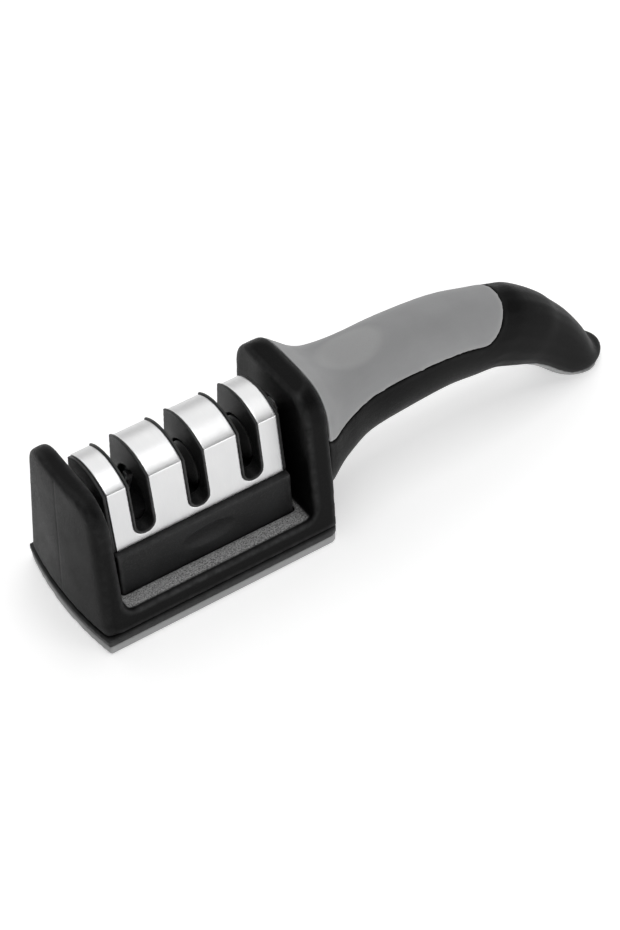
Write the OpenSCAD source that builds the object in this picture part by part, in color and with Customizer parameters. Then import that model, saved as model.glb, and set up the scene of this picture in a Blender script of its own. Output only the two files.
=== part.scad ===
// Hand-held three-stage knife sharpener: a cradle with a lift-out sharpening
// module between two end walls, and a curved handle with a soft grip.
// Frame: +X towards the handle, +Z up, origin at the centre of the base pad's
// underside. Millimetres.

/* [Body] */
// Length of the base between its end corners
body_len = 84; // [80:0.5:92]
// Width of the base at its lower edge
body_w = 50.5; // [49:0.5:54]
// How far the nose bulges beyond its corners in plan
nose_bulge = 2.5; // [1:0.1:4]
// Height of the nose wall
nose_h = 56.6; // [54:0.2:60]
// Height of the handle-side wall
wall_h = 59.5; // [58.5:0.5:66]
// Inward slope of the side faces, degrees
side_draft = 5; // [4:0.25:6]
// Radius of the wall shoulders
shoulder_r = 12; // [7:0.5:13]
// Thickness of the soft base pad
pad_t = 3.5; // [2.5:0.1:4.5]
// Thickness of the base plate, seen as a flange
plate_t = 2.5; // [2:0.1:3]
// Height of the ledge floor in front of and behind the module
ledge_z = 12.4; // [11:0.2:15]

/* [Module] */
// Length of the module
mod_len = 62.8; // [61:0.2:64]
// Length of the steel cover
cover_len = 60.4; // [59:0.2:60.8]
// Thickness of the steel sheet
sheet_t = 0.8; // [0.5:0.1:1]
// Half width of the cover at its lower edge
cover_low_y = 13.5; // [13:0.1:14]
// Half width of the cover at the shoulder bend
cover_bend_y = 11.1; // [10.4:0.1:11.8]
// Height of the cover's lower edge
cover_low_z = 28.4; // [28:0.1:28.8]
// Height of the shoulder bend
cover_bend_z = 50.8; // [50:0.1:52]
// Rise of the crown above the shoulder bend
crown_rise = 3.6; // [2.5:0.1:4]
// Half width of the skirt where it meets the ledge
skirt_y = 16; // [15.6:0.1:16.6]

/* [Knife slots] */
// Spacing of the three knife slots
slot_pitch = 19.5; // [18.6:0.1:20]
// Width of the clear slot between the plastic rims
slot_w = 6; // [5:0.1:6.4]
// Thickness of the plastic rim round each slot
rim_t = 0.9; // [0.7:0.1:1.1]
// Height of the rim above the steel
rim_proud = 0.5; // [0.3:0.1:0.7]
// Height of the lowest point of the rim
slot_low_z = 30.8; // [30.4:0.1:31.4]

/* [Sharpening elements] */
// Diameter of the grooved wheels
wheel_d = 15; // [14:0.2:15.4]
// Diameter of the wheel axles
axle_d = 2.5; // [2:0.1:3]
// Running clearance between wheel bore and axle
axle_fit = 0.06; // [0.03:0.01:0.1]
// Angle of each crossed carbide plate from upright, degrees
carbide_tilt = 20; // [15:1:24]

/* [Handle] */
// Thickness of the soft grip and of the tail foot
grip_t = 1.8; // [1.4:0.1:2.2]
// Smooth steps between two handle stations
loft_steps = 4; // [3:1:5]

/* [Hidden] */
gap = 0.3;
big = 200;
fine = 96;
half_len = body_len / 2;
half_w = body_w / 2;
plate_z = pad_t + plate_t;
// inner faces of the two end walls
nose_in = -34.7;
wall_in = 34.9;
// outer face of the handle-side wall
wall_out = half_len + 0.9;
// radius of the bulged nose face in plan
bulge_r = (pow(half_w, 2) + pow(nose_bulge, 2)) / (2 * nose_bulge);
nose_lean = 3.2;
corner_r = 2.2;
ledge_r = 4;
shoulder_steps = 16;
well_x = mod_len / 2 + gap;
well_y = skirt_y + gap;
mod_half = mod_len / 2;
mod_low_z = plate_z + gap;
skirt_top_z = cover_low_z - 0.1;
skirt_top_y = skirt_y - 0.3;
// half width of the housing where it meets the base plate
house_y = half_w - 0.5;
deck_z = skirt_top_z - 0.1;
skin = 2.4;
// wheel pockets, open to the underside of the core
pocket_w = 9.6;
pocket_y = wheel_d / 2 + 0.7;
pocket_low_y = wheel_d / 2 + 0.2;
axle_z = deck_z + wheel_d / 2 + 1.3;
axle_len = 14;
wheel_w = 3.7;
groove_w = 2.9;
groove_r = 3.1;
hub_d = axle_d + 2;
// screws
screw_d = 3;
screw_head_d = 5.6;
screw_head_t = 1.8;
base_screw_x = 38.2;
base_screw_y = 18.4;
base_screw_len = 9;
mod_screw_x = slot_pitch / 2;
mod_screw_len = 12;
handle_screw_len = 15;
handle_screw_z = [24, 44];

black = [0.13, 0.13, 0.14];
grey = [0.55, 0.55, 0.56];
steel = [0.86, 0.87, 0.88];
carbide = [0.62, 0.63, 0.66];
diamond = [0.42, 0.42, 0.44];
ceramic = [0.93, 0.92, 0.88];
zinc = [0.74, 0.75, 0.76];

// ---------- shared shapes ----------

// a profile drawn in Y and Z, extruded along X from x0 to x1
module along_x(x0, x1) {
    translate([x0, 0, 0])
        rotate([90, 0, 90])
            linear_extrude(height = x1 - x0)
                children();
}

// a profile drawn in X and Z, extruded along Y from y0 to y1
module along_y(y0, y1) {
    translate([0, y1, 0])
        rotate([90, 0, 0])
            linear_extrude(height = y1 - y0)
                children();
}

// half width of the drafted side face at height z
function side_y(z) = house_y - (z - plate_z) * tan(side_draft);

// points of a round shoulder under a top at height z, from the side to the top
function shoulder(z) =
    let (cz = z - shoulder_r,
        cy = side_y(cz) - shoulder_r / cos(side_draft),
        turn = (90 - side_draft) / shoulder_steps)
    [for (i = [0:shoulder_steps])
        [cy + shoulder_r * cos(side_draft + i * turn), cz + shoulder_r * sin(side_draft + i * turn)]];

// wall section in Y and Z: drafted sides and round shoulders
module wall_section() {
    round = shoulder(wall_h);
    polygon(concat([[-house_y, plate_z], [house_y, plate_z]], round,
        [for (i = [0:shoulder_steps]) let (p = round[shoulder_steps - i]) [-p[0], p[1]]]));
}

// what the lower shoulders of the nose wall leave out
module nose_section() {
    round = shoulder(nose_h);
    for (s = [0, 1])
        mirror([s, 0])
            polygon(concat(
                [for (i = [1:shoulder_steps]) round[i]],
                [[round[shoulder_steps][0], big / 2], [big / 2, big / 2],
                    [big / 2, round[0][1]], [round[0][0] + 1, round[0][1]]]));
}

// plan of the base, grown outwards by g, with a bulged nose
module base_plan(g, r) {
    intersection() {
        translate([bulge_r - half_len - nose_bulge, 0])
            circle(r = bulge_r + g, $fn = 4 * fine);
        round_rect(-half_len - nose_bulge - g, half_len + g, half_w + g, r);
    }
}

// rectangle from x0 to x1 and -hy to hy with round corners
module round_rect(x0, x1, hy, r) {
    translate([x0 + r, -hy])
        square([x1 - x0 - 2 * r, 2 * hy]);
    translate([x0, -hy + r])
        square([x1 - x0, 2 * hy - 2 * r]);
    for (x = [x0 + r, x1 - r], y = [-hy + r, hy - r])
        translate([x, y])
            circle(r = r, $fn = fine);
}

// bar that removes a square edge and leaves a round one of radius r
module edge_round(r, h) {
    difference() {
        translate([-2 * r, -2 * r, 0])
            cube([2 * r, 2 * r, h]);
        translate([0, 0, -1])
            cylinder(r = r, h = h + 2, $fn = fine);
    }
}

// pan-head screw pointing up, head underside at z = 0
module screw(len) {
    cylinder(d = screw_d, h = len, $fn = fine / 2);
    difference() {
        translate([0, 0, -screw_head_t])
            cylinder(d = screw_head_d, h = screw_head_t, $fn = fine / 2);
        for (a = [0, 90])
            rotate([0, 0, a])
                translate([-1.6, -0.35, -screw_head_t - 1])
                    cube([3.2, 0.7, 1.9]);
    }
}

// ---------- housing and base ----------

module housing_envelope() {
    bay_top_z = 40;
    intersection() {
        along_x(-half_len - nose_bulge, wall_out)
            wall_section();
        translate([0, 0, plate_z])
            linear_extrude(height = wall_h)
                round_rect(-half_len - nose_bulge, wall_out, half_w, 1.6);
        // leaning, bulged nose face
        translate([-half_len - nose_bulge, 0, plate_z])
            rotate([0, nose_lean, 0])
                translate([bulge_r, 0, -10])
                    cylinder(r = bulge_r, h = big, $fn = 4 * fine);
        // tops of the two walls
        along_y(-big / 2, big / 2)
            polygon([[-big, 0], [-big, nose_h], [nose_in, nose_h],
                [0, bay_top_z], [wall_in - 1, bay_top_z],
                [wall_in, wall_h - 1.5], [wall_out - 1, wall_h], [big, wall_h],
                [big, 20], [wall_out, 20], [half_len, 10], [half_len, 0]]);
    }
}

module nose_corner_rounds() {
    for (s = [-1, 1])
        translate([-half_len - 0.45 + corner_r, s * (house_y - corner_r), plate_z - 0.01])
            rotate([s * side_draft, nose_lean, 0])
                mirror([0, s > 0 ? 1 : 0, 0])
                    edge_round(corner_r, big / 3);
}

// open space between the end walls, round at the ledge corners
module bay_section() {
    round_low = [nose_in + ledge_r, wall_in - ledge_r];
    translate([nose_in, ledge_z + ledge_r])
        square([wall_in - nose_in, big / 2]);
    translate([round_low[0], ledge_z])
        square([round_low[1] - round_low[0], big / 2]);
    for (x = round_low)
        translate([x, ledge_z + ledge_r])
            circle(r = ledge_r, $fn = fine);
}

module guide_rails() {
    rail_w = 9;
    rail_top = 40;
    for (x = [nose_in - 1, mod_half + gap])
        translate([x, -rail_w / 2, plate_z])
            cube([x < 0 ? -mod_half - gap - nose_in + 1 : wall_in + 1 - mod_half - gap,
                rail_w, rail_top - plate_z]);
}

module housing() {
    core_y = 13;
    core_top = 46;
    core_w = 2.6;
    core_len = 10;
    core_off = 10;
    color(black) difference() {
        union() {
            difference() {
                housing_envelope();
                along_x(-half_len - nose_bulge - 1, 0)
                    nose_section();
                along_y(-big / 2, big / 2)
                    bay_section();
                nose_corner_rounds();
                // well that takes the foot of the module
                translate([-well_x, -well_y, plate_z - 1])
                    cube([2 * well_x, 2 * well_y, 20]);
            }
            guide_rails();
        }
        // cored-out nose wall
        translate([nose_in - skin - core_w, -core_y, plate_z - 1])
            cube([core_w, 2 * core_y, core_top - plate_z + 1]);
        // cored-out handle-side wall, either side of the screw column
        for (s = [-1, 1])
            translate([wall_in + skin, s * core_off - core_len / 2, plate_z - 1])
                cube([core_w, core_len, core_top - plate_z + 1]);
        // pilot holes for the base screws
        for (x = [-base_screw_x, base_screw_x], y = [-base_screw_y, base_screw_y])
            translate([x, y, plate_z - 1])
                cylinder(d = screw_d, h = base_screw_len, $fn = fine / 2);
        // counterbored holes for the handle screws
        for (z = handle_screw_z)
            translate([mod_half - 1, 0, z])
                rotate([0, 90, 0]) {
                    cylinder(d = screw_head_d + 0.4, h = wall_in - mod_half + 3, $fn = fine / 2);
                    cylinder(d = screw_d, h = big / 8, $fn = fine / 2);
                }
    }
}

module base_plate() {
    flange = 0.5;
    drain_w = 3.2;
    drain_len = 16;
    floor_t = 1;
    color(black) difference() {
        translate([0, 0, pad_t])
            linear_extrude(height = plate_t)
                base_plan(flange, 3.5);
        for (x = [-base_screw_x, base_screw_x], y = [-base_screw_y, base_screw_y])
            translate([x, y, pad_t - 1]) {
                cylinder(d = screw_d, h = plate_t + 2, $fn = fine / 2);
                cylinder(d = screw_head_d + 0.4, h = screw_head_t + 1, $fn = fine / 2);
            }
        // troughs under the three stages, which catch the filings
        for (x = [-1, 0, 1] * slot_pitch)
            translate([x - drain_w / 2, -drain_len / 2, pad_t + floor_t])
                cube([drain_w, drain_len, plate_t]);
    }
}

module base_pad() {
    dimple_d = 5;
    dimple_deep = 0.8;
    color(grey) difference() {
        linear_extrude(height = pad_t)
            base_plan(0.2, 3.2);
        for (x = [-33:11:33], y = [-12, 12])
            translate([x, y, -1])
                cylinder(d = dimple_d, h = 1 + dimple_deep, $fn = fine / 2);
    }
}

module base_screws() {
    color(zinc)
        for (x = [-base_screw_x, base_screw_x], y = [-base_screw_y, base_screw_y])
            translate([x, y, pad_t + screw_head_t])
                screw(base_screw_len - 2);
}

// ---------- handle ----------

// handle stations: x, z, fall of the axis, half width, height above the axis,
// depth below it, fullness of the section
STATIONS = [
    [wall_out, 36.4, 0, 21.4, 22.8, 24.2, 3.6],
    [46, 35.2, 0, 20.4, 21.9, 22.4, 3.2],
    [50, 34.9, 0, 18.6, 19.7, 20.1, 2.8],
    [55, 35.3, 0, 16.8, 18.3, 18.7, 2.5],
    [65, 36.7, 0, 14.2, 17.9, 16.9, 2.3],
    [80, 37.6, 0, 13.5, 17.8, 16.6, 2.2],
    [98, 37.3, 6, 12.7, 16.7, 15.9, 2.2],
    [111, 34.4, 16, 12.3, 15.8, 14.6, 2.2],
    [118, 32.4, 24, 12.2, 15.6, 13.4, 2.2],
    [122.5, 30.5, 30, 12, 15.6, 12.6, 2.3],
    [131, 25.1, 40, 11.7, 14.5, 11.3, 2.3],
    [136.3, 21.2, 44, 11.2, 13, 10.2, 2.3],
    [143.2, 15.2, 46, 10.8, 11.6, 9.5, 2.3],
    [151, 7.4, 44, 10.6, 9.4, 9.1, 2.3],
    [157, 2.8, 36, 9.9, 5.8, 7.3, 2.2],
    [161.6, 2.7, 30, 7.6, 3.8, 5, 2.1],
    [164.2, 2.6, 30, 4.6, 2.7, 3.4, 2],
    [165.6, 2.2, 30, 1.4, 0.9, 1.4, 2]
];
// lower edge of the grip at each station, degrees above the horizontal
GRIP_EDGE = [2, 3.5, 8.5, 12.5, 13.5, 13, 9.5, 8.5, 8.5];
// the grip's round end starts and ends at these fractional stations
grip_round = 6.75;
grip_end = 7.6;
grip_end_steps = 8;
top_edge = 84;
// clearance of the recesses under the grip and over the foot
recess_gap = 0.06;
recess_slack = 0.5;
last_station = len(STATIONS) - 1;
foot_first = 11;
// upper edge of the foot at each station from foot_first on, degrees
FOOT_EDGE = [222, 222, 216, 196, 199, 208, 225];
thin = 0.05;
top_points = 18;
side_points = 7;
base_points = 14;

function smooth(a, b, c, d, t) = 0.5 * (2 * b + (c - a) * t
    + (2 * a - 5 * b + 4 * c - d) * t * t + (3 * b - a - 3 * c + d) * t * t * t);
function clamp_index(i) = max(0, min(last_station, i));
// station at fractional index u
function station(u) =
    let (i = min(floor(u), last_station - 1), t = u - i)
    smooth(STATIONS[clamp_index(i - 1)], STATIONS[i], STATIONS[i + 1],
        STATIONS[clamp_index(i + 2)], t);
function bulged(v, n) = sign(v) * pow(abs(v), 2 / n);
// point on station s at angle a, set in by g, never below height low
function loft_point(s, a, g, low) =
    let (y = (s[3] - g) * bulged(cos(a), s[6]),
        h = sin(a) > 0 ? s[4] - g : s[5] - g,
        v = h * bulged(sin(a), s[6]))
    [s[0] + v * sin(s[2]), y, max(low, s[1] + v * cos(s[2]))];
function spread(a0, a1, n) = [for (i = [0:n]) a0 + (a1 - a0) * i / n];
// value of a table of numbers at fractional index u
function along(table, u) =
    let (n = len(table) - 1, i = min(floor(u), n - 1))
    smooth(table[max(0, i - 1)], table[i], table[i + 1], table[min(n, i + 2)], u - i);
// the grip's edge follows the table, then sweeps up in a round end
function grip_edge(u) =
    let (e = along(GRIP_EDGE, min(u, grip_end)),
        r = max(0, min(1, (u - grip_round) / (grip_end - grip_round))))
    e + (top_edge - e) * (1 - sqrt(1 - r * r));
function foot_edge(u) = along(FOOT_EDGE, max(0, u - foot_first));
function grip_depth(u) = grip_t * (u < grip_end ? 1 : thin);
// the foot thins out at both of its ends
function foot_depth(u) =
    grip_t * max(thin, min(1, 2 * (u - foot_first), 0.25 + 0.4 * (last_station - u)));

// section of the handle core: recessed under the grip and over the foot
function core_loop(u) =
    let (s = station(u),
        e = grip_edge(u) - recess_slack,
        g = u <= grip_end ? grip_depth(u) + recess_gap : 0,
        b = foot_edge(u) - recess_slack,
        f = u < foot_first ? 0 : foot_depth(u) + recess_gap)
    concat(
        [for (a = spread(e, 180 - e, top_points)) loft_point(s, a, g, f)],
        [for (a = spread(180 - e, b, side_points)) loft_point(s, a, 0, 0)],
        [for (a = spread(b, 540 - b, base_points)) loft_point(s, a, f, f)],
        [for (a = spread(180 - b, e, side_points)) loft_point(s, a, 0, 0)]);

// section of a layer between angles a0 and a1
function layer_loop(s, a0, a1, n, g, low) =
    concat(
        [for (a = spread(a0, a1, n)) loft_point(s, a, 0, 0)],
        [for (a = spread(a1, a0, n)) loft_point(s, a, g, low)]);

// solid skin over a list of loops with equal point counts
module loft(loops) {
    n = len(loops[0]);
    m = len(loops);
    sides = [for (j = [0:m - 2], i = [0:n - 1])
        let (k = (i + 1) % n)
        for (f = [[j * n + k, j * n + i, (j + 1) * n + i],
            [(j + 1) * n + k, j * n + k, (j + 1) * n + i]]) f];
    polyhedron(
        points = [for (l = loops, p = l) p],
        faces = concat([[for (i = [0:n - 1]) i]], sides,
            [[for (i = [0:n - 1]) m * n - 1 - i]]));
}

function steps(from, to) = [for (k = [0:(to - from) * loft_steps]) from + k / loft_steps];
// indices of the loops: closer together round the end of the grip
GRIP_STEPS = concat(steps(0, grip_round),
    [for (i = [1:grip_end_steps])
        grip_round + (grip_end - grip_round) * (i == grip_end_steps ? 1 : sin(90 * i / grip_end_steps))]);
FOOT_STEPS = steps(foot_first, last_station);
HANDLE_STEPS = concat(GRIP_STEPS, [grip_end + 0.01],
    steps(ceil(grip_end), foot_first - 1 / loft_steps), FOOT_STEPS);

module handle_core() {
    color(black) difference() {
        loft([for (u = HANDLE_STEPS) core_loop(u)]);
        for (z = handle_screw_z)
            translate([wall_out - 1, 0, z])
                rotate([0, 90, 0])
                    cylinder(d = screw_d, h = handle_screw_len - 2, $fn = fine / 2);
    }
}

module grip() {
    color(grey)
        loft([for (u = GRIP_STEPS)
            let (e = grip_edge(u))
            layer_loop(station(u), e, 180 - e, top_points, grip_depth(u), 0)]);
}

module tail_foot() {
    color(grey)
        loft([for (u = FOOT_STEPS)
            let (f = foot_depth(u), b = foot_edge(u))
            layer_loop(station(u), b, 540 - b, base_points, f, f)]);
}

module handle_screws() {
    color(zinc)
        for (z = handle_screw_z)
            translate([wall_in + 2, 0, z])
                rotate([0, 90, 0])
                    screw(handle_screw_len);
}

// ---------- sharpening module ----------

// outline of the cover in Y and Z, grown outwards by g
module cover_section(g, low) {
    crown_r = (pow(cover_bend_y, 2) + pow(crown_rise, 2)) / (2 * crown_rise);
    bend_y = cover_bend_y + g;
    fall = (cover_low_y - cover_bend_y) / (cover_bend_z - cover_low_z);
    low_y = bend_y + (cover_bend_z - low) * fall;
    polygon([[-low_y, low], [low_y, low], [bend_y, cover_bend_z],
        [-bend_y, cover_bend_z]]);
    intersection() {
        translate([0, cover_bend_z + crown_rise - crown_r])
            circle(r = crown_r + g, $fn = 2 * fine);
        translate([-bend_y, cover_bend_z - 0.01])
            square([2 * bend_y, 3 * crown_rise]);
    }
}

// a knife slot in X and Z, open at the top, w wide and low at its lowest
module slot_section(w, low) {
    translate([0, low + w / 2])
        circle(d = w, $fn = fine);
    translate([-w / 2, low + w / 2])
        square([w, big / 3]);
}

module at_slots() {
    for (k = [-1, 0, 1])
        translate([k * slot_pitch, 0, 0])
            children();
}

module steel_cover() {
    color(steel) difference() {
        along_x(-cover_len / 2, cover_len / 2)
            difference() {
                cover_section(0, cover_low_z);
                cover_section(-sheet_t, cover_low_z - 1);
            }
        at_slots()
            along_y(-big / 8, big / 8)
                slot_section(slot_w + 2 * rim_t, slot_low_z);
    }
}

module module_core() {
    flange_in = 0.35;
    color(black) difference() {
        union() {
            along_x(-cover_len / 2, cover_len / 2)
                cover_section(-sheet_t, skirt_top_z);
            // end flanges, seen beyond both ends of the steel
            for (s = [-1, 1])
                along_x(s > 0 ? cover_len / 2 : -mod_half, s > 0 ? mod_half : -cover_len / 2)
                    cover_section(-flange_in, skirt_top_z);
            // rims standing proud of the steel
            intersection() {
                along_x(-cover_len / 2, cover_len / 2)
                    cover_section(rim_proud, skirt_top_z);
                at_slots()
                    along_y(-big / 8, big / 8)
                        slot_section(slot_w + 2 * rim_t, slot_low_z);
            }
        }
        at_slots()
            along_y(-big / 8, big / 8)
                slot_section(slot_w, slot_low_z + rim_t);
        // pockets for the sharpening elements, open to the underside
        at_slots()
            along_x(-pocket_w / 2, pocket_w / 2) {
                translate([0, axle_z])
                    circle(r = pocket_y, $fn = fine);
                translate([-pocket_low_y, skirt_top_z - 1])
                    square([2 * pocket_low_y, axle_z - skirt_top_z + 1]);
            }
        // seats for the axles, entered from below
        for (k = [0, 1])
            translate([k * slot_pitch, 0, 0])
                along_x(-axle_len / 2, axle_len / 2) {
                    translate([0, axle_z])
                        circle(d = axle_d, $fn = fine);
                    translate([-axle_d / 2, skirt_top_z - 1])
                        square([axle_d, axle_z - skirt_top_z + 1]);
                }
        // holes for the screws that hold the module together
        for (x = [-mod_screw_x, mod_screw_x])
            translate([x, 0, skirt_top_z - 1])
                cylinder(d = screw_d, h = mod_screw_len, $fn = fine / 2);
    }
}

// lens-shaped hollow that a finger presses
module finger_hollow() {
    hollow_len = 20;
    hollow_h = 7.4;
    deep = 1.3;
    across_r = (pow(hollow_h / 2, 2) + pow(deep, 2)) / (2 * deep);
    along_r = (pow(hollow_len / 2, 2) + pow(deep, 2)) / (2 * deep);
    face_y = (skirt_y + skirt_top_y) / 2;
    translate([0.8, -face_y + deep - along_r, (ledge_z + skirt_top_z) / 2])
        rotate_extrude($fn = 4 * fine)
            translate([along_r - across_r, 0])
                circle(r = across_r, $fn = fine);
}

module module_base() {
    boss_d = 8;
    hole_d = 3;
    rim_chamfer = 0.5;
    post_w = 1.8;
    post_half = axle_d / 2 - 0.1;
    color(black) difference() {
        along_x(-mod_half, mod_half)
            polygon([[-skirt_y, mod_low_z], [skirt_y, mod_low_z],
                [skirt_y, ledge_z], [skirt_top_y, skirt_top_z - rim_chamfer],
                [skirt_top_y - rim_chamfer, skirt_top_z],
                [rim_chamfer - skirt_top_y, skirt_top_z],
                [-skirt_top_y, skirt_top_z - rim_chamfer], [-skirt_y, ledge_z]]);
        difference() {
            translate([-mod_half + skin, -skirt_top_y + skin + 0.8, mod_low_z - 1])
                cube([mod_len - 2 * skin, 2 * (skirt_top_y - skin - 0.8),
                    skirt_top_z - skin - mod_low_z + 1]);
            for (x = [-mod_screw_x, mod_screw_x])
                translate([x, 0, 0])
                    cylinder(d = boss_d, h = big / 4, $fn = fine / 2);
        }
        for (x = [-mod_screw_x, mod_screw_x])
            translate([x, 0, mod_low_z - 1]) {
                cylinder(d = screw_d, h = big / 4, $fn = fine / 2);
                cylinder(d = screw_head_d + 0.4, h = skirt_top_z - mod_low_z - 2, $fn = fine / 2);
            }
        // holes under each stage for the filings, and for the carbide screw
        at_slots()
            for (y = [-5, 5])
                translate([0, y, mod_low_z])
                    cylinder(d = hole_d, h = big / 4, $fn = fine / 2);
        finger_hollow();
        mirror([0, 1, 0])
            finger_hollow();
    }
    // posts that hold the axles up in their seats
    color(black)
        for (k = [0, 1], s = [-1, 1])
            translate([k * slot_pitch + s * (pocket_w + axle_len) / 4, 0, skirt_top_z])
                difference() {
                    translate([-post_w / 2, -post_half, 0])
                        cube([post_w, 2 * post_half, axle_z - skirt_top_z]);
                    translate([-post_w, 0, axle_z - skirt_top_z])
                        rotate([0, 90, 0])
                            cylinder(d = axle_d, h = 2 * post_w, $fn = fine / 2);
                }
}

module module_screws() {
    color(zinc)
        for (x = [-mod_screw_x, mod_screw_x])
            translate([x, 0, skirt_top_z - 3])
                screw(mod_screw_len);
}

// ---------- first stage: crossed carbide plates ----------

cross_z = 38;
plate_w = 2.6;
plate_len = 11;
plate_y = 2.2;

module carbide_plate(s) {
    translate([-slot_pitch, s * plate_y / 2, cross_z])
        rotate([0, s * carbide_tilt, 0])
            translate([s * plate_w / 2, 0, 0.5])
                cube([plate_w, plate_y - 0.04, plate_len], center = true);
}

module carbide_front() {
    color(carbide)
        carbide_plate(-1);
}

module carbide_rear() {
    color(carbide)
        carbide_plate(1);
}

module carbide_block() {
    block_w = pocket_w - 0.1;
    block_top = cross_z - 3.5;
    color(black) difference() {
        translate([-slot_pitch - block_w / 2, -pocket_low_y + 0.1, skirt_top_z])
            cube([block_w, 2 * pocket_low_y - 0.2, block_top - skirt_top_z]);
        carbide_plate(-1);
        carbide_plate(1);
        translate([-slot_pitch, -pocket_low_y - 1, block_top - 3.6])
            rotate([-90, 0, 0])
                cylinder(d = 2.5, h = pocket_low_y - plate_y + 1, $fn = fine / 2);
    }
}

module carbide_screw() {
    color(zinc)
        translate([-slot_pitch, -pocket_low_y + 0.6, cross_z - 7.1])
            rotate([-90, 0, 0])
                cylinder(d = 2.5, h = pocket_low_y - plate_y - 0.7, $fn = fine / 2);
}

// ---------- second and third stages: grooved wheels on axles ----------

module axle(k) {
    translate([k * slot_pitch, 0, 0])
        along_x(-axle_len / 2, axle_len / 2)
            translate([0, axle_z])
                circle(d = axle_d, $fn = fine);
}

// one half of a grooved wheel on the side s of slot k
module wheel_half(k, s) {
    start = 0.05;
    translate([k * slot_pitch, 0, axle_z])
        rotate([0, s * 90, 0])
            difference() {
                union() {
                    translate([0, 0, start])
                        cylinder(r1 = groove_r, r2 = wheel_d / 2, h = groove_w - start, $fn = fine);
                    translate([0, 0, groove_w])
                        cylinder(d = wheel_d, h = wheel_w - groove_w, $fn = fine);
                }
                translate([0, 0, -1])
                    cylinder(d = hub_d, h = wheel_w + 2, $fn = fine);
            }
}

module wheel_hub(k) {
    hub_len = 2 * wheel_w + 0.6;
    translate([k * slot_pitch - hub_len / 2, 0, axle_z])
        rotate([0, 90, 0])
            difference() {
                cylinder(d = hub_d, h = hub_len, $fn = fine);
                translate([0, 0, -1])
                    cylinder(d = axle_d + 2 * axle_fit, h = hub_len + 2, $fn = fine);
            }
}

module diamond_axle() {
    color(zinc)
        axle(0);
}

module diamond_wheel_left() {
    color(diamond)
        wheel_half(0, -1);
}

module diamond_wheel_right() {
    color(diamond)
        wheel_half(0, 1);
}

module diamond_hub() {
    color(black)
        wheel_hub(0);
}

module ceramic_axle() {
    color(zinc)
        axle(1);
}

module ceramic_wheel_left() {
    color(ceramic)
        wheel_half(1, -1);
}

module ceramic_wheel_right() {
    color(ceramic)
        wheel_half(1, 1);
}

module ceramic_hub() {
    color(black)
        wheel_hub(1);
}

// ---------- what is drawn ----------

housing();
base_plate();
base_pad();
base_screws();
handle_core();
grip();
tail_foot();
handle_screws();
module_base();
module_core();
steel_cover();
module_screws();
carbide_front();
carbide_rear();
carbide_block();
carbide_screw();
diamond_axle();
diamond_wheel_left();
diamond_wheel_right();
diamond_hub();
ceramic_axle();
ceramic_wheel_left();
ceramic_wheel_right();
ceramic_hub();
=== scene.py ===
"""Looks of a hand-held three-stage knife sharpener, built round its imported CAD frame. Metres."""
import math

import bmesh
import bpy
import numpy as np
from mathutils import Matrix, Vector


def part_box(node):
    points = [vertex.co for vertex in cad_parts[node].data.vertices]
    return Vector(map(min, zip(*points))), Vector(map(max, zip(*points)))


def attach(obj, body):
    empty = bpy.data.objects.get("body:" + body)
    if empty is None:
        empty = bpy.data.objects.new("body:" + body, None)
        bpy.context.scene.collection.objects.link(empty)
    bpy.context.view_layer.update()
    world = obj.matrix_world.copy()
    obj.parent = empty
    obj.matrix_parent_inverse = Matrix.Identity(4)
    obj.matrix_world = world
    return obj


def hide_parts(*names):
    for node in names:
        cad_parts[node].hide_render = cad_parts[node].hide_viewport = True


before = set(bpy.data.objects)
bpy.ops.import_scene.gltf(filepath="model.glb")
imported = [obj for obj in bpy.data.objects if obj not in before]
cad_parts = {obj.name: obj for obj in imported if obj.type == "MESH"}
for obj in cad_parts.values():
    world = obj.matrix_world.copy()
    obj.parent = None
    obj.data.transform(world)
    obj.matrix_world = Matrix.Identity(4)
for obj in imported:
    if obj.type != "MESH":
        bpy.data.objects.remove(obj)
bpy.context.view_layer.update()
MM = 0.001

# ---------- places read from the frame ----------

house_low, house_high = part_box("housing")
LEDGE_Z = 12.4 * MM                       # floor of the two sandblasted ledges
NOSE_RIM_X = house_low.x + 8 * MM         # where the nose wall's outer fillets end
NOSE_INNER_X = -34.7 * MM                 # inner faces of the two end walls
WALL_INNER_X = 34.9 * MM
LEDGE_INNER_Y = house_high.y - 2.2 * MM   # the ledge floor stops short of its outer rim
THUMB_X, THUMB_Y = 64.4 * MM, -0.8 * MM   # middle of the thumb rest on the grip
THUMB_LONG, THUMB_WIDE = 13 * MM, 8.2 * MM
TAIL_TIP_X = 148 * MM                     # where the tail starts to round off
MASK_ROUNDS, MASK_GAIN, MASK_FLOOR = 8, 12, 0.12   # smoothing and strength of the wear-and-highlight mask and the grime mask


# ---------- mesh helpers ----------

def ramp(values, start, end):
    """0 before start, 1 after end, smooth between."""
    t = np.clip((values - start) / (end - start), 0, 1)
    return t * t * (3 - 2 * t)


def link(name, mesh):
    obj = bpy.data.objects.new(name, mesh)
    bpy.context.scene.collection.objects.link(obj)
    return obj


def remeshed(node, voxel):
    """A closed, even mesh of a CAD node's shape, with faces about one voxel wide."""
    source = bmesh.new()
    source.from_mesh(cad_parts[node].data)
    bmesh.ops.remove_doubles(source, verts=source.verts, dist=1e-7)
    mesh = bpy.data.meshes.new(node + "_source")
    source.to_mesh(mesh)
    source.free()
    obj = link(node + "_source", mesh)
    remesh = obj.modifiers.new("Remesh", "REMESH")
    remesh.mode = "VOXEL"
    remesh.voxel_size = voxel
    even = bpy.data.meshes.new_from_object(obj.evaluated_get(bpy.context.evaluated_depsgraph_get()))
    bpy.data.objects.remove(obj)
    bpy.data.meshes.remove(mesh)
    return even


def coords(mesh):
    co = np.empty(len(mesh.vertices) * 3, np.float32)
    mesh.vertices.foreach_get("co", co)
    return co.reshape(-1, 3).astype(float)


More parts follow.
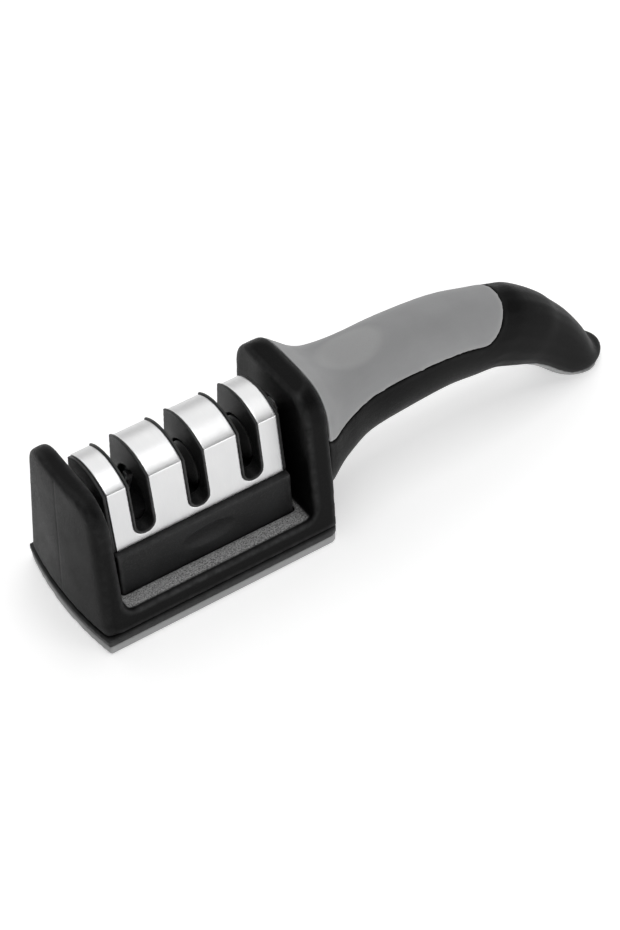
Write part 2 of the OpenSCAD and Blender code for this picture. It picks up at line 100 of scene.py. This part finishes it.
def edge_ends(mesh):
    ends = np.empty(len(mesh.edges) * 2, np.int32)
    mesh.edges.foreach_get("vertices", ends)
    return ends.reshape(-1, 2)


def neighbour_mean(values, ends):
    """Mean of each vertex's neighbours, for one or more columns of values."""
    a, b = ends[:, 0], ends[:, 1]
    count = len(values)
    degree = np.maximum(np.bincount(a, minlength=count) + np.bincount(b, minlength=count), 1)
    columns = [
        np.bincount(a, values[b, i], count) + np.bincount(b, values[a, i], count)
        for i in range(values.shape[1])
    ]
    return np.stack(columns, 1) / degree[:, None]


def relaxed(co, ends, rounds, softness):
    """Rounds off edges and corners; flat faces stay flat."""
    for _ in range(rounds):
        co = co + softness[:, None] * (neighbour_mean(co, ends) - co)
    return co


def store(mesh, name, values):
    layer = mesh.attributes.new(name, "FLOAT", "POINT")
    layer.data.foreach_set("value", values.astype(np.float32))


def vertex_normals(mesh):
    normals = np.empty(len(mesh.vertices) * 3, np.float32)
    mesh.vertices.foreach_get("normal", normals)
    return normals.reshape(-1, 3)


def moulded(name, node, voxel, rounds, softer=None, softer_rounds=0, shape=None):
    """A piece that stands for a CAD node, with the soft edges of a moulded or pressed part.
    softer gives how strongly each point takes part in the further rounds; shape moves points last."""
    mesh = remeshed(node, voxel)
    ends = edge_ends(mesh)
    co = coords(mesh)
    co = relaxed(co, ends, rounds, np.full(len(co), 0.5))
    if softer:
        co = relaxed(co, ends, softer_rounds, 0.5 * softer(co))
    if shape:
        mesh.vertices.foreach_set("co", co.astype(np.float32).ravel())
        mesh.update()
        co = shape(co, vertex_normals(mesh))
    mesh.vertices.foreach_set("co", co.astype(np.float32).ravel())
    mesh.update()
    # how sharply each point stands out from its neighbours: for wear and painted edge highlights on
    # convex edges, and for grime in hollows
    out = ((co - neighbour_mean(co, ends)) * vertex_normals(mesh)).sum(1) / voxel
    for _ in range(MASK_ROUNDS):
        out = neighbour_mean(out[:, None], ends)[:, 0]
    # convex edges: a mask for wear and for a painted edge highlight
    store(mesh, "wear_and_highlight", np.clip(out * MASK_GAIN - MASK_FLOOR, 0, 1))
    store(mesh, "grime", np.clip(-out * MASK_GAIN - MASK_FLOOR, 0, 1))
    mesh.polygons.foreach_set("use_smooth", np.ones(len(mesh.polygons), bool))
    mesh.name = name
    return link(name, mesh)


# ---------- materials ----------

class Nodes:
    """Short names for building a material's node tree."""

    def __init__(self, name):
        self.material = bpy.data.materials.new(name)
        self.material.use_nodes = True
        self.tree = self.material.node_tree
        self.shader = self.tree.nodes["Principled BSDF"]
        self.place = self.add("ShaderNodeTexCoord").outputs["Object"]

    def add(self, kind, **settings):
        node = self.tree.nodes.new(kind)
        for key, value in settings.items():
            setattr(node, key, value)
        return node

    def wire(self, value, socket):
        if isinstance(value, bpy.types.NodeSocket):
            self.tree.links.new(value, socket)
        else:
            socket.default_value = value

    def noise(self, size, detail=2, stretch=(1, 1, 1), roughness=0.5):
        """Noise whose features are about size metres wide, longer along the stretched axes."""
        mapping = self.add("ShaderNodeMapping")
        self.wire(self.place, mapping.inputs["Vector"])
        mapping.inputs["Scale"].default_value = [1 / (size * s) for s in stretch]
        noise = self.add("ShaderNodeTexNoise")
        self.wire(mapping.outputs[0], noise.inputs["Vector"])
        noise.inputs["Scale"].default_value = 1
        noise.inputs["Detail"].default_value = detail
        noise.inputs["Roughness"].default_value = roughness
        return noise.outputs["Fac"]

    def attribute(self, name):
        return self.add("ShaderNodeAttribute", attribute_name=name).outputs["Fac"]

    def math(self, operation, a, b=0.0):
        node = self.add("ShaderNodeMath", operation=operation)
        self.wire(a, node.inputs[0])
        self.wire(b, node.inputs[1])
        return node.outputs[0]

    def fit(self, value, low, high, out_low, out_high):
        node = self.add("ShaderNodeMapRange")
        self.wire(value, node.inputs["Value"])
        for key, number in zip(("From Min", "From Max", "To Min", "To Max"),
                               (low, high, out_low, out_high)):
            node.inputs[key].default_value = number
        return node.outputs[0]

    def blend(self, share, a, b):
        """Colour a where share is 0, b where it is 1."""
        node = self.add("ShaderNodeMix", data_type="RGBA")
        self.wire(share, node.inputs["Factor"])
        self.wire(a, node.inputs["A"])
        self.wire(b, node.inputs["B"])
        return node.outputs["Result"]

    def bump(self, layers):
        """Chains (height, depth in metres) layers into one normal."""
        normal = None
        for height, depth in layers:
            node = self.add("ShaderNodeBump")
            node.inputs["Distance"].default_value = depth
            self.wire(height, node.inputs["Height"])
            if normal:
                self.wire(normal, node.inputs["Normal"])
            normal = node.outputs[0]
        self.wire(normal, self.shader.inputs["Normal"])


def grey(level, tint=0.0):
    return (level * (1 - tint / 2), level, level * (1 + tint), 1)


def plastic(name, level, grain, worn_highlight_level, gloss=0.4, shine=0.07):
    """Satin black plastic with a fine moulded texture, glossier on its edges, and paler there from wear
    and a painted rim highlight.
    """
    n = Nodes(name)
    clouds = n.fit(n.noise(14 * MM, 3), 0.35, 0.65, 0, 1)
    fine = n.noise(grain, 3, roughness=0.6)
    colour = n.blend(clouds, grey(level * 0.8, 0.02), grey(level * 1.25, 0.03))
    colour = n.blend(n.fit(fine, 0.5, 0.75, 0, 0.8), colour, grey(level * 2.6))
    # edges painted paler: partly wear, partly a painted rim highlight
    wear_and_highlight = n.math("MULTIPLY", n.attribute("wear_and_highlight"), n.fit(n.noise(2.5 * MM, 4), 0.3, 0.7, 0.4, 1))
    colour = n.blend(wear_and_highlight, colour, grey(worn_highlight_level, 0.01))
    dust = n.math("MULTIPLY", n.attribute("grime"), n.fit(n.noise(1.2 * MM, 4), 0.4, 0.8, 0, 0.3))
    n.wire(n.blend(dust, colour, grey(0.03, -0.02)), n.shader.inputs["Base Color"])
    rough = n.math("ADD", n.fit(fine, 0.3, 0.7, gloss - 0.06, gloss + 0.1),
                   n.fit(clouds, 0, 1, -0.03, 0.05))
    n.wire(n.math("SUBTRACT", rough, n.math("MULTIPLY", wear_and_highlight, 0.1)), n.shader.inputs["Roughness"])
    n.shader.inputs["Specular IOR Level"].default_value = shine
    n.bump([(fine, 0.09 * MM), (n.noise(9 * MM, 1), 0.05 * MM)])
    return n


def blasted(name):
    """The cradle's plastic: satin all over, and coarse and pale on the sandblasted ledges."""
    n = plastic(name, 0.003, 0.5 * MM, 0.09)
    floor = n.attribute("ledge")
    speckle = n.noise(0.5 * MM, 4, roughness=0.7)
    pale = n.blend(n.fit(speckle, 0.35, 0.68, 0, 1), grey(0.08), grey(0.6))
    base = n.shader.inputs["Base Color"]
    before = base.links[0].from_socket
    n.wire(n.blend(floor, before, pale), base)
    rough = n.shader.inputs["Roughness"]
    plain = rough.links[0].from_socket
    n.wire(n.math("ADD", plain, n.math("MULTIPLY", floor, 0.15)), rough)
    coarse = n.add("ShaderNodeBump")
    coarse.inputs["Distance"].default_value = 0.16 * MM
    n.wire(n.math("MULTIPLY", speckle, floor), coarse.inputs["Height"])
    normal = n.shader.inputs["Normal"]
    n.wire(normal.links[0].from_socket, coarse.inputs["Normal"])
    n.wire(coarse.outputs[0], normal)
    return n.material


def rubber(name, level):
    """Matt soft-touch rubber, slightly mottled, with paler edges from wear and a painted sheen."""
    n = Nodes(name)
    clouds = n.fit(n.noise(20 * MM, 3), 0.3, 0.7, 0, 1)
    colour = n.blend(clouds, grey(level * 0.92, 0.01), grey(level * 1.06, 0.01))
    # edges painted paler: wear with a painted sheen
    colour = n.blend(n.math("MULTIPLY", n.attribute("wear_and_highlight"), 0.6), colour, grey(level * 1.5))
    colour = n.blend(n.math("MULTIPLY", n.attribute("dish"), 0.5), colour, grey(level * 1.35))
    specks = n.fit(n.noise(0.5 * MM, 3, roughness=0.7), 0.55, 0.75, 0, 0.25)
    n.wire(n.blend(specks, colour, grey(level * 0.75)), n.shader.inputs["Base Color"])
    fine = n.noise(0.35 * MM, 3, roughness=0.6)
    n.wire(n.fit(fine, 0.3, 0.7, 0.58, 0.78), n.shader.inputs["Roughness"])
    n.shader.inputs["Specular IOR Level"].default_value = 0.3
    n.shader.inputs["Sheen Weight"].default_value = 0.15
    n.shader.inputs["Sheen Roughness"].default_value = 0.5
    n.bump([(fine, 0.025 * MM), (n.noise(6 * MM, 2), 0.06 * MM)])
    return n.material


def metal(name, level, rough, streak, depth, spots=0.0):
    """Bare metal with fine brush lines; streak stretches them along X, Y and Z."""
    n = Nodes(name)
    lines = n.noise(0.1 * MM, 3, stretch=streak, roughness=0.6)
    broad = n.noise(1.8 * MM, 2, stretch=streak)
    clouds = n.noise(18 * MM, 3)
    colour = n.blend(n.fit(lines, 0.3, 0.7, 0, 1), grey(level * 0.96), grey(min(1, level * 1.03)))
    colour = n.blend(n.fit(clouds, 0.35, 0.7, 0, 0.35), colour, grey(level * 0.84, 0.02))
    if spots:
        colour = n.blend(n.fit(n.noise(2 * MM, 5), 0.55, 0.75, 0, spots), colour, grey(level * 0.45))
    n.wire(n.blend(n.math("MULTIPLY", n.attribute("wear_and_highlight"), 0.5), colour, grey(min(1, level * 1.1))),
           n.shader.inputs["Base Color"])
    n.shader.inputs["Metallic"].default_value = 1
    n.wire(n.math("ADD", n.fit(lines, 0.3, 0.7, rough - 0.05, rough + 0.07),
                  n.fit(broad, 0.3, 0.7, -0.03, 0.04)), n.shader.inputs["Roughness"])
    n.bump([(lines, depth), (broad, depth), (clouds, 0.1 * MM)])
    return n.material


def grit(name, level, size, sparkle, depth):
    """Bonded abrasive grains: dark between, brighter on the grains."""
    n = Nodes(name)
    cells = n.add("ShaderNodeTexVoronoi")
    n.wire(n.place, cells.inputs["Vector"])
    cells.inputs["Scale"].default_value = 1 / size
    grains = n.fit(cells.outputs["Distance"], 0, 0.6, 1, 0)
    colour = n.blend(grains, grey(level * 0.5), grey(level * 1.3))
    n.wire(n.blend(n.fit(n.noise(3 * MM, 3), 0.4, 0.7, 0, 0.4), colour, grey(level * 0.7)),
           n.shader.inputs["Base Color"])
    n.shader.inputs["Metallic"].default_value = sparkle
    n.wire(n.fit(grains, 0, 1, 0.6, 0.32), n.shader.inputs["Roughness"])
    n.bump([(grains, depth)])
    return n.material


BODY = blasted("body_black_satin")
# the cradle's black plastic again, set about four times paler: painted light, lifting faces that sit in
# shade
BLACK = plastic("module_black_satin", 0.013, 0.5 * MM, 0.06, shine=0.16).material
HANDLE = plastic("handle_black_satin", 0.003, 0.5 * MM, 0.03).material
INNER = plastic("inner_black", 0.012, 0.4 * MM, 0.03, gloss=0.4).material
GRIP = rubber("grip_grey_soft", 0.29)
FOOT = rubber("foot_grey_soft", 0.30)
COVER = metal("cover_brushed_steel", 0.74, 0.36, (1, 40, 40), 0.003 * MM)
SCREW = metal("screw_zinc", 0.6, 0.35, (3, 3, 3), 0.01 * MM, spots=0.4)
AXLE = metal("axle_ground_steel", 0.68, 0.25, (1, 12, 12), 0.006 * MM)
CARBIDE = metal("carbide_ground", 0.55, 0.28, (1, 14, 1), 0.006 * MM)
DIAMOND = grit("diamond_grit", 0.045, 0.25 * MM, 0.3, 0.05 * MM)
CERAMIC = grit("ceramic_fine_grit", 0.018, 0.18 * MM, 0.0, 0.03 * MM)


# ---------- pieces that stand for CAD nodes ----------

def dress(obj, material, body, slot, *nodes):
    obj.data.materials.clear()
    obj.data.materials.append(material)
    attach(obj, body)
    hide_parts(*nodes)
    return obj


FILLET_ROUNDS = 46


def make_housing():
    def softer(co):
        """Wide fillets on the outer rims of the two end walls, smaller ones inside."""
        nose = 1 - ramp(co[:, 0], house_low.x + 4 * MM, NOSE_RIM_X)
        wall = ramp(co[:, 0], house_high.x - 3.4 * MM, house_high.x - 1.2 * MM)
        above = ramp(co[:, 2], LEDGE_Z, LEDGE_Z + 6 * MM)
        inner = sum(ramp(-np.abs(co[:, 0] - face), -2.2 * MM, -0.6 * MM)
                    for face in (NOSE_INNER_X, WALL_INNER_X))
        return np.clip(nose * 0.9 + wall * above * 0.6 + inner * above * 0.5, 0, 1)

    def shape(co, normals):
        """A faint parting line down the nose face."""
        on_line = np.exp(-((co[:, 1] / (0.35 * MM)) ** 2)) * (normals[:, 0] < -0.9)
        on_line *= co[:, 0] < house_low.x + 5 * MM
        return co - normals * (on_line * 0.09 * MM)[:, None]

    obj = moulded("cradle_housing", "housing", 0.42 * MM, 6, softer, FILLET_ROUNDS, shape)
    co, normals = coords(obj.data), vertex_normals(obj.data)
    floor = ramp(normals[:, 2], 0.55, 0.95) * ramp(-np.abs(co[:, 2] - LEDGE_Z), -1.2 * MM, -0.5 * MM)
    floor *= ramp(-np.abs(co[:, 1]), -LEDGE_INNER_Y, 1 * MM - LEDGE_INNER_Y)
    store(obj.data, "ledge", floor)
    return dress(obj, BODY, "cradle", "body_plastic", "housing")


def make_grip():
    def shape(co, normals):
        """A shallow thumb rest on top of the grip, near the wall."""
        dish = thumb(co)
        return co - normals * (dish * 0.45 * MM)[:, None]

    def thumb(co):
        along = (co[:, 0] - THUMB_X) / THUMB_LONG
        across = (co[:, 1] - THUMB_Y) / THUMB_WIDE
        return (1 - ramp(along * along + across * across, 0.5, 1.1)) * (co[:, 2] > 50 * MM)

    obj = moulded("handle_grip", "grip", 0.5 * MM, 5, shape=shape)
    store(obj.data, "dish", thumb(coords(obj.data)))
    return dress(obj, GRIP, "cradle", "soft_grip", "grip")


def tail_tip(co):
    """The rounded end of the tail."""
    return ramp(co[:, 0], TAIL_TIP_X, TAIL_TIP_X + 10 * MM) * 0.9


TAIL_ROUNDS = 60
make_housing()
make_grip()
PLAIN = [
    # name, CAD node, voxel, rounds, material, body, slot
    ("base_flange", "base_plate", 0.45 * MM, 4, BLACK, "cradle", "body_plastic"),
    ("base_soft_pad", "base_pad", 0.45 * MM, 5, FOOT, "cradle", "soft_foot"),
    ("handle_body", "handle_core", 0.5 * MM, 6, HANDLE, "cradle", "body_plastic"),
    ("tail_soft_foot", "tail_foot", 0.45 * MM, 3, FOOT, "cradle", "soft_foot"),
    ("module_skirt", "module_base", 0.38 * MM, 5, BLACK, "cartridge", "body_plastic"),
    ("module_block", "module_core", 0.28 * MM, 3, BLACK, "cartridge", "body_plastic"),
    ("module_cover", "steel_cover", 0.22 * MM, 3, COVER, "cartridge", "cover_steel"),
]
for name, node, voxel, rounds, material, body, slot in PLAIN:
    softer = tail_tip if node == "handle_core" else None
    dress(moulded(name, node, voxel, rounds, softer, TAIL_ROUNDS), material, body, slot, node)

# ---------- CAD nodes that stay, with soft edges ----------

KEPT = {
    "base_screws": SCREW, "handle_screws": SCREW, "module_screws": SCREW, "carbide_screw": SCREW,
    "carbide_front": CARBIDE, "carbide_rear": CARBIDE, "carbide_block": INNER,
    "diamond_axle": AXLE, "diamond_wheel_left": DIAMOND, "diamond_wheel_right": DIAMOND,
    "diamond_hub": INNER, "ceramic_axle": AXLE, "ceramic_wheel_left": CERAMIC,
    "ceramic_wheel_right": CERAMIC, "ceramic_hub": INNER,
}
for node, material in KEPT.items():
    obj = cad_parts[node]
    obj.data.materials.clear()
    obj.data.materials.append(material)
    weld = obj.modifiers.new("Weld", "WELD")
    weld.merge_threshold = 0.002 * MM
    bevel = obj.modifiers.new("Bevel", "BEVEL")
    bevel.width = 0.12 * MM
    bevel.segments = 2
    bevel.limit_method = "ANGLE"
    bevel.angle_limit = math.radians(40)

# ---------- floor, light and camera ----------

floor_mesh = bpy.data.meshes.new("floor")
FLOOR_HALF = 4
floor_mesh.from_pydata([(x, y, 0) for x, y in ((-1, -1), (1, -1), (1, 1), (-1, 1))], [], [(0, 1, 2, 3)])
floor_mesh.transform(Matrix.Scale(FLOOR_HALF, 4))
floor = link("floor", floor_mesh)
paper = Nodes("floor_paper")
paper.wire(paper.blend(paper.noise(0.4, 2), grey(0.93), grey(0.95)), paper.shader.inputs["Base Color"])
paper.shader.inputs["Roughness"].default_value = 0.9
paper.shader.inputs["Specular IOR Level"].default_value = 0.1
paper.shader.inputs["Emission Color"].default_value = (1, 1, 1, 1)
paper.shader.inputs["Emission Strength"].default_value = 0.4
floor_mesh.materials.append(paper.material)


def softbox(name, place, aim, size, watts):
    light = bpy.data.lights.new(name, "AREA")
    light.shape = "RECTANGLE"
    light.size, light.size_y = size
    light.energy = watts
    obj = bpy.data.objects.new(name, light)
    obj.location = place
    obj.rotation_euler = (Vector(aim) - Vector(place)).to_track_quat("-Z", "Y").to_euler()
    bpy.context.scene.collection.objects.link(obj)


CENTRE = (0.04, 0, 0.03)
softbox("top_back", (0.3, 0.75, 0.95), CENTRE, (1.6, 1.1), 3.8)
softbox("left", (-0.95, 0.3, 0.7), CENTRE, (0.8, 0.7), 0.15)
softbox("front_low", (0.45, -1.1, 0.3), CENTRE, (1.1, 0.45), 4.5)
softbox("overhead", (0.05, -0.1, 1.2), CENTRE, (0.7, 0.7), 5)

azimuth, elevation, roll = (math.radians(a) for a in (-31.14, 45.055, -3.024))
DISTANCE = 0.80777
TARGET = Vector((0.048063, 0, 0.009706))
back = Vector((math.sin(azimuth) * math.cos(elevation), -math.cos(azimuth) * math.cos(elevation),
               math.sin(elevation)))
level_right = Vector((math.cos(azimuth), math.sin(azimuth), 0))
level_up = back.cross(level_right)
right = level_right * math.cos(roll) + level_up * math.sin(roll)
up = level_up * math.cos(roll) - level_right * math.sin(roll)

# a studio that is bright all round, but dim round the place the photo was taken from
DIM_DIRECTION = (-0.365, -0.605, 0.708)
world = bpy.data.worlds.new("studio")
world.use_nodes = True
studio = world.node_tree
toward = studio.nodes.new("ShaderNodeVectorMath")
toward.operation = "DOT_PRODUCT"
studio.links.new(studio.nodes.new("ShaderNodeTexCoord").outputs["Generated"], toward.inputs[0])
toward.inputs[1].default_value = DIM_DIRECTION
fade = studio.nodes.new("ShaderNodeMapRange")
studio.links.new(toward.outputs["Value"], fade.inputs["Value"])
for key, number in (("From Min", -0.1), ("From Max", 0.8), ("To Min", 0.62), ("To Max", 0.06)):
    fade.inputs[key].default_value = number
sky = studio.nodes["Background"]
sky.inputs["Color"].default_value = (1, 1, 1, 1)
studio.links.new(fade.outputs[0], sky.inputs["Strength"])
bpy.context.scene.world = world
bpy.context.scene.view_settings.view_transform = "Standard"

camera = bpy.data.objects.new("camera", bpy.data.cameras.new("camera"))
camera.data.lens = 96.35
camera.data.clip_end = 20
turned = Matrix((right, up, back)).transposed().to_4x4()
camera.matrix_world = Matrix.Translation(TARGET + back * DISTANCE) @ turned
bpy.context.scene.collection.objects.link(camera)
bpy.context.scene.camera = camera
